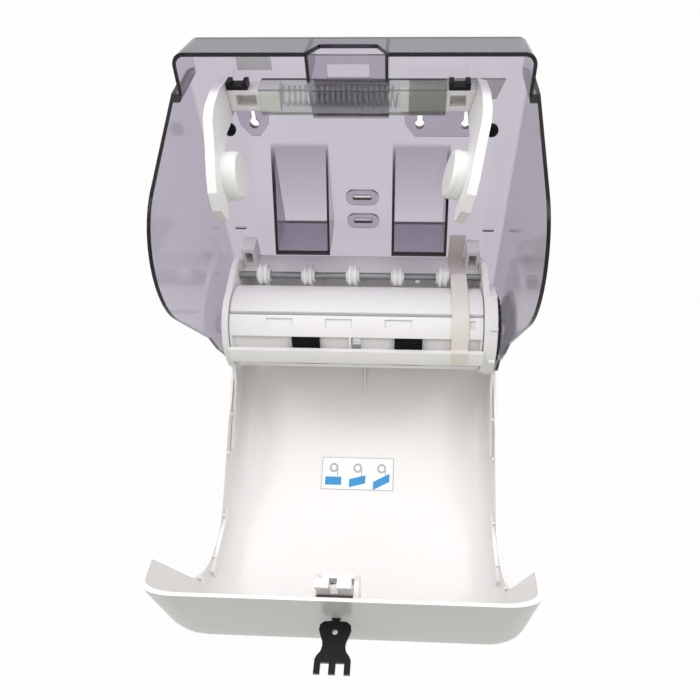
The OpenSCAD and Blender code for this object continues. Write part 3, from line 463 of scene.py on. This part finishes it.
def label_print(tree):
    """Three tiles of the label: a roll and its sheet above a blue foot at a slant of its own."""
    look = finishes()
    low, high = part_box("instruction_label")

    def share(value, axis):
        return maths(tree, "DIVIDE", maths(tree, "SUBTRACT", value, low[axis]),
                     high[axis] - low[axis])

    def square(value):
        return maths(tree, "POWER", value, 2.0)

    def at_edge(value, start):
        off_middle = maths(tree, "ABSOLUTE", maths(tree, "SUBTRACT", value, 0.5))
        return maths(tree, "GREATER_THAN", off_middle, start)

    x, y = object_axes(tree)[:2]
    across, along = share(x, 0), share(y, 1)
    spread = maths(tree, "MULTIPLY", across, TILES)
    tile = maths(tree, "FLOOR", spread)
    place = maths(tree, "SUBTRACT", maths(tree, "FRACT", spread), 0.5)
    slant = maths(tree, "MULTIPLY", maths(tree, "MULTIPLY", tile, place), FOOT_SLANT)
    foot = maths(tree, "MULTIPLY", between(tree, place, *FOOT_ACROSS),
                 between(tree, maths(tree, "SUBTRACT", along, slant), *FOOT_ALONG))
    beside = maths(tree, "MULTIPLY", place, ROLL_SQUEEZE)
    above = maths(tree, "SUBTRACT", along, ROLL_ALONG)
    reach = maths(tree, "SQRT", maths(tree, "ADD", square(beside), square(above)))
    roll = between(tree, reach, *ROLL_RING)
    sheet = maths(tree, "MULTIPLY", between(tree, place, *SHEET_ACROSS),
                  between(tree, along, *SHEET_ALONG))
    rim = maths(tree, "MAXIMUM", at_edge(across, FRAME_ACROSS), at_edge(along, FRAME_ALONG))
    grey = maths(tree, "MAXIMUM", rim, maths(tree, "MAXIMUM", roll, sheet))
    return mixed(tree, foot, mixed(tree, grey, look.paper, look.line), look.ink)


def finish(material, *nodes):
    """Gives CAD nodes their material."""
    for name in nodes:
        slots = NODES[name].data.materials
        slots.clear()
        slots.append(material)


def cover_white():
    """The glossy white of the cover, its lock and its gussets."""
    found = bpy.data.materials.get("cover white")
    return found or plastic("cover white", finishes().cover, roughness=0.3, spread=0.06,
                            mottle=0.015, depth=0.015, seams=0.2)


def select_points(piece, test):
    """Selects, in edit mode, just the points of a piece that pass a test."""
    bpy.ops.mesh.select_all(action="DESELECT")
    bpy.ops.object.mode_set(mode="OBJECT")
    for point in piece.data.vertices:
        point.select = test(point.co)
    bpy.ops.object.mode_set(mode="EDIT")


class DISPENSER_OT_case(bpy.types.Operator):
    """Finish the smoked back shell with its plugs and its sticker"""

    bl_idname = "dispenser.case"
    bl_label = "Back shell"

    def execute(self, context):
        look = finishes()
        finish(see_through("smoked shell", look.smoke, sizes().smoke_density, shell_tone),
               "back_shell")
        finish(plastic("black plug", look.black, roughness=0.45, seams=0.0,
                       Specular_IOR_Level=0.2), "wall_plugs")
        finish(plastic("sticker paper", look.paper, roughness=0.6, depth=0.08), "blank_sticker")
        return {"FINISHED"}


class DISPENSER_OT_roll_holder(bpy.types.Operator):
    """Finish the rail, its spring, the carriers, the arms and the clips"""

    bl_idname = "dispenser.roll_holder"
    bl_label = "Roll holder"

    def execute(self, context):
        look = finishes()
        finish(see_through("grey rail", look.rail, RAIL_DENSITY, rail_tone, roughness=0.12,
                           Specular_IOR_Level=0.2), "slide_rail")
        finish(plastic("milky carrier", look.milky, roughness=0.4, seams=0.0,
                       Subsurface_Weight=0.7, Subsurface_Radius=(1.0, 1.0, 1.0),
                       Subsurface_Scale=0.008), "left_carrier", "right_carrier")
        finish(plastic("arm white", look.white, roughness=0.38), "left_arm", "right_arm")
        finish(plastic("clip black", look.black, roughness=0.4, seams=0.0,
                       Specular_IOR_Level=0.2), "left_clip", "right_clip")
        finish(metal("spring steel", look.steel), "arm_spring")
        return {"FINISHED"}


class DISPENSER_OT_cutting_unit(bpy.types.Operator):
    """Finish the frame of the cutting unit, its rollers and the packing strip"""

    bl_idname = "dispenser.cutting_unit"
    bl_label = "Cutting unit"

    def execute(self, context):
        look = finishes()
        finish(plastic("frame white", look.white, roughness=0.42),
               "chassis", "left_post", "right_post", "left_frame", "right_frame",
               "front_guide", "pinch_rollers")
        finish(plastic("bush", look.milky, roughness=0.4), "axle_bushes")
        finish(metal("ground shaft", look.shaft, roughness=0.42), "pinch_shaft")
        finish(metal("bright steel", look.steel, roughness=0.32), "frame_screws", "drive_spring")
        finish(plastic("packing strip", look.tape, roughness=0.45, mottle=0.1, depth=0.12,
                       seams=0.1, Transmission_Weight=0.15), "transit_tape")
        return {"FINISHED"}


class DISPENSER_OT_drum(bpy.types.Operator):
    """Finish the drum, its grips, the knife and the feed wheel"""

    bl_idname = "dispenser.drum"
    bl_label = "Drum"

    def execute(self, context):
        look = finishes()
        finish(plastic("drum white", look.drum, roughness=0.45),
               "drum_panel", "left_drum_end", "right_drum_end")
        finish(plastic("bar white", look.white, roughness=0.4), "drum_bar", "grip_tray")
        finish(plastic("grip rubber", look.rubber, roughness=0.7, depth=0.2, seams=0.0,
                       Specular_IOR_Level=0.15), "rubber_grips")
        finish(plastic("wheel grey", look.wheel, roughness=0.45, seams=0.0,
                       Specular_IOR_Level=0.3), "feed_wheel", "crank_arm")
        finish(plastic("knife lever black", look.black, roughness=0.45, seams=0.0),
               "knife_carrier")
        # Steel of the knife, darkened as painted shade in its slot
        finish(metal("blade steel", look.blade, roughness=0.35), "serrated_blade")
        finish(metal("clip steel", look.steel, roughness=0.25), "drum_clip")
        return {"FINISHED"}


class DISPENSER_OT_cover(bpy.types.Operator):
    """Finish the bowed cover with its pins, lock, latch and key"""

    bl_idname = "dispenser.cover"
    bl_label = "Cover"

    def execute(self, context):
        look = finishes()
        finish(cover_white(), "front_cover", "lock_housing", "latch")
        finish(plastic("key black", look.black, roughness=0.28, seams=0.0,
                       Specular_IOR_Level=0.25), "key")
        finish(metal("pin steel", look.steel), "hinge_pins", "latch_spring")
        finish(plastic("label print", label_print, roughness=0.5, depth=0.02, seams=0.1),
               "instruction_label")
        return {"FINISHED"}


class DISPENSER_OT_gussets(bpy.types.Operator):
    """Model the small gussets inside the rim of the cover's side walls"""

    bl_idname = "dispenser.gussets"
    bl_label = "Cover gussets"

    def execute(self, context):
        for side, name in ((-1, "left"), (1, "right")):
            for index, y in enumerate(GUSSET_Y):
                gusset = self.model(side, self.rim_point(side, y))
                gusset.name = f"gusset_{name}_{index + 1}"
                gusset.data.materials.append(cover_white())
                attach(gusset, "cover")
        return {"FINISHED"}

    @staticmethod
    def rim_point(side, y):
        """The inner edge of the cover's rim at a place along its side wall.
        Half the width of the part is also a height well above the open cover."""
        cover = NODES["front_cover"]
        half = CAD_BOX[1][0]
        tops = [cover.ray_cast((side * (half - step * WALL_BITE), y, half), (0, 0, -1))
                for step in range(1, RIM_TRIES)]
        rim = max((place.z for found, place, _, _ in tops if found), default=half)
        start = (side * half / 2, y, rim - WALL_THICK)
        found, wall, _, _ = cover.ray_cast(start, (side, 0, 0))
        if not found:
            raise RuntimeError(f"the cover has no rim at y = {y}")
        return Vector((wall.x, y, rim))

    @staticmethod
    def model(side, corner):
        """A three-cornered web, with its long edge on the wall and its short edge along the rim."""
        size = sizes()
        leg, drop = size.gusset_leg, size.gusset_drop
        bpy.ops.object.select_all(action="DESELECT")
        bpy.ops.mesh.primitive_cube_add(size=1.0)
        web = bpy.context.object
        bpy.ops.object.mode_set(mode="EDIT")
        bpy.ops.mesh.select_mode(type="VERT")
        bpy.ops.transform.resize(value=(leg, size.gusset_thick, drop))
        bpy.ops.transform.translate(value=(-side * leg / 2, 0.0, -drop / 2 - RIM_STEP))
        select_points(web, lambda point: abs(point.x) > leg / 2 and point.z < -drop / 2)
        bpy.ops.transform.translate(value=(side * leg, 0.0, 0.0))
        bpy.ops.mesh.select_all(action="SELECT")
        bpy.ops.mesh.remove_doubles(threshold=WELD)
        bpy.ops.mesh.bevel(offset=size.gusset_thick / BEVEL_PARTS, segments=2, affect="EDGES")
        bpy.ops.mesh.normals_make_consistent(inside=False)
        bpy.ops.transform.translate(value=corner + Vector((side * WALL_BITE, 0.0, 0.0)))
        bpy.ops.object.mode_set(mode="OBJECT")
        return web


class DISPENSER_OT_fits(bpy.types.Operator):
    """Stand smooth or seated copies in for the nodes that need them"""

    bl_idname = "dispenser.fits"
    bl_label = "Smooth and seated copies"

    def execute(self, context):
        self.stand_in("front_cover", "cover_body")
        for node in WALL_NODES:
            self.seat(self.stand_in(node, f"{node}_seated"))
        spring = self.stand_in("latch_spring", "latch_spring_coil")
        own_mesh(spring)
        return {"FINISHED"}

    @staticmethod
    def stand_in(node, name):
        """A welded copy of a CAD node, smooth over its small angles, that is shown in its place."""
        source = NODES[node]
        copy = bpy.data.objects.new(name, source.data.copy())
        bpy.context.scene.collection.objects.link(copy)
        bpy.ops.object.select_all(action="DESELECT")
        copy.select_set(True)
        bpy.context.view_layer.objects.active = copy
        bpy.ops.mesh.customdata_custom_splitnormals_clear()
        bpy.ops.object.mode_set(mode="EDIT")
        bpy.ops.mesh.select_all(action="SELECT")
        bpy.ops.mesh.remove_doubles(threshold=WELD)
        bpy.ops.object.mode_set(mode="OBJECT")
        bpy.ops.object.shade_smooth_by_angle(angle=sizes().smooth_angle)
        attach(copy, source["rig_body"])
        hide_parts(node)
        return copy

    @staticmethod
    def seat(copy):
        """Takes a copy's back a hair off the case wall, so that light passes between the two."""
        bpy.ops.object.mode_set(mode="EDIT")
        bpy.ops.mesh.select_mode(type="VERT")
        select_points(copy, lambda point: point.y > WALL_FACE_Y)
        bpy.ops.transform.translate(value=(0.0, -sizes().seat_gap, 0.0))
        bpy.ops.object.mode_set(mode="OBJECT")


class DISPENSER_OT_stage(bpy.types.Operator):
    """Build the floor, the light and the camera"""

    bl_idname = "dispenser.stage"
    bl_label = "Stage"

    def execute(self, context):
        view = context.scene.dispenser_view
        self.lay_floor(view)
        self.make_sky(context.scene, view)
        self.hang_lamps(context.scene, view)
        self.aim_camera(context.scene, view)
        context.scene.view_settings.view_transform = "Standard"
        return {"FINISHED"}

    @staticmethod
    def background_ray(tree):
        """1 for a ray that should see the plain background: camera, mirror and clear plastic."""
        rays = tree.nodes.new("ShaderNodeLightPath").outputs
        seen = maths(tree, "MAXIMUM", rays["Is Camera Ray"], rays["Is Glossy Ray"])
        return maths(tree, "MAXIMUM", seen, rays["Is Transmission Ray"])

    def lay_floor(self, view):
        """A floor that looks white to the camera and gives back little light."""
        low = CAD_BOX[0][2] - view.floor_drop
        bpy.ops.object.select_all(action="DESELECT")
        bpy.ops.mesh.primitive_plane_add(size=FLOOR_SPAN, location=(0.0, 0.0, low))
        floor = bpy.context.object
        floor.name = "floor"
        bpy.ops.object.transform_apply(location=True)
        material = bpy.data.materials.new("pale floor")
        material.use_nodes = True
        tree = material.node_tree
        shader = tree.nodes["Principled BSDF"]
        feed(tree, shader.inputs["Base Color"], view.ground)
        feed(tree, shader.inputs["Roughness"], FLOOR_ROUGHNESS)
        glow = tree.nodes.new("ShaderNodeEmission")
        feed(tree, glow.inputs["Color"], (1.0, 1.0, 1.0))
        white = maths(tree, "MULTIPLY", self.background_ray(tree), FLOOR_WHITE)
        either_shader(tree, white, shader, glow, tree.nodes["Material Output"])
        floor.data.materials.append(material)

    def make_sky(self, scene, view):
        """A white background, and light that comes from above and from behind."""
        world = bpy.data.worlds.new("studio")
        world.use_nodes = True
        tree = world.node_tree
        room = tree.nodes["Background"]
        feed(tree, room.inputs["Strength"], view.sky_level)
        heading = tree.nodes.new("ShaderNodeSeparateXYZ")
        place = tree.nodes.new("ShaderNodeTexCoord").outputs["Generated"]
        tree.links.new(place, heading.inputs[0])
        lean = maths(tree, "ADD", maths(tree, "MULTIPLY", heading.outputs["Z"], SKY_RISE),
                     maths(tree, "MULTIPLY", heading.outputs["Y"], SKY_LEAN))
        rise = maths(tree, "SUBTRACT", lean, SKY_START, clamp=True)
        feed(tree, room.inputs["Color"], mixed(tree, rise, view.ground, SKY_COLOUR))
        white = tree.nodes.new("ShaderNodeBackground")
        either_shader(tree, self.background_ray(tree), room, white, tree.nodes["World Output"])
        scene.world = world

    @staticmethod
    def hang_lamps(scene, view):
        """Three flat lamps that point at the part."""
        for name, (place, size), power in (("top lamp", TOP_LAMP, view.key_power),
                                           ("left lamp", LEFT_LAMP, view.side_power),
                                           ("right lamp", RIGHT_LAMP, view.side_power)):
            lamp = bpy.data.lights.new(name, "AREA")
            lamp.shape = "RECTANGLE"
            lamp.size, lamp.size_y = size
            lamp.energy = power
            holder = bpy.data.objects.new(name, lamp)
            holder.location = place
            turn = (LAMP_AIM - Vector(place)).to_track_quat("-Z", "Y")
            holder.rotation_euler = turn.to_euler()
            scene.collection.objects.link(holder)

    @staticmethod
    def aim_camera(scene, view):
        """The camera that was fitted to the photograph."""
        level = math.cos(view.elevation)
        ahead = Vector((math.sin(view.yaw) * level, math.cos(view.yaw) * level,
                        -math.sin(view.elevation)))
        right = Vector((math.cos(view.yaw), -math.sin(view.yaw), 0.0))
        up = right.cross(ahead)
        tilt = Matrix.Rotation(view.roll, 3, -ahead)
        lens = bpy.data.cameras.new("photo camera")
        lens.sensor_width = SENSOR_WIDTH
        lens.lens = view.focal * SENSOR_WIDTH / PHOTO_SIZE
        lens.shift_x = 0.5 - view.centre_x / PHOTO_SIZE
        lens.shift_y = view.centre_y / PHOTO_SIZE - 0.5
        lens.clip_start = NEAR_CLIP
        camera = bpy.data.objects.new("photo camera", lens)
        turn = Matrix((tilt @ right, tilt @ up, -ahead)).transposed()
        camera.matrix_world = Matrix.Translation(view.place) @ turn.to_4x4()
        scene.collection.objects.link(camera)
        scene.camera = camera


STEPS = (DISPENSER_OT_stage, DISPENSER_OT_case, DISPENSER_OT_roll_holder,
         DISPENSER_OT_cutting_unit, DISPENSER_OT_drum, DISPENSER_OT_cover,
         DISPENSER_OT_gussets, DISPENSER_OT_fits)


class DISPENSER_PT_panel(bpy.types.Panel):
    """Lists the dispenser's steps in the sidebar"""

    bl_idname = "DISPENSER_PT_panel"
    bl_label = "Towel dispenser"
    bl_space_type = "VIEW_3D"
    bl_region_type = "UI"
    bl_category = "Dispenser"

    def draw(self, context):
        for step in STEPS:
            self.layout.operator(step.bl_idname)


GROUPS = {"dispenser_finishes": DispenserFinishes, "dispenser_sizes": DispenserSizes,
          "dispenser_view": DispenserView}


def register():
    """Registers the classes and hangs the property groups on the scene."""
    for item in (*GROUPS.values(), *STEPS, DISPENSER_PT_panel):
        bpy.utils.register_class(item)
    for name, group in GROUPS.items():
        setattr(bpy.types.Scene, name, PointerProperty(type=group))


def unregister():
    """Takes off what register put on."""
    for name in GROUPS:
        delattr(bpy.types.Scene, name)
    for item in (DISPENSER_PT_panel, *reversed(STEPS), *GROUPS.values()):
        bpy.utils.unregister_class(item)


def main():
    """Builds the dispenser."""
    register()
    for step in STEPS:
        area, name = step.bl_idname.split(".")
        getattr(getattr(bpy.ops, area), name)()


if __name__ == "__main__":
    main()
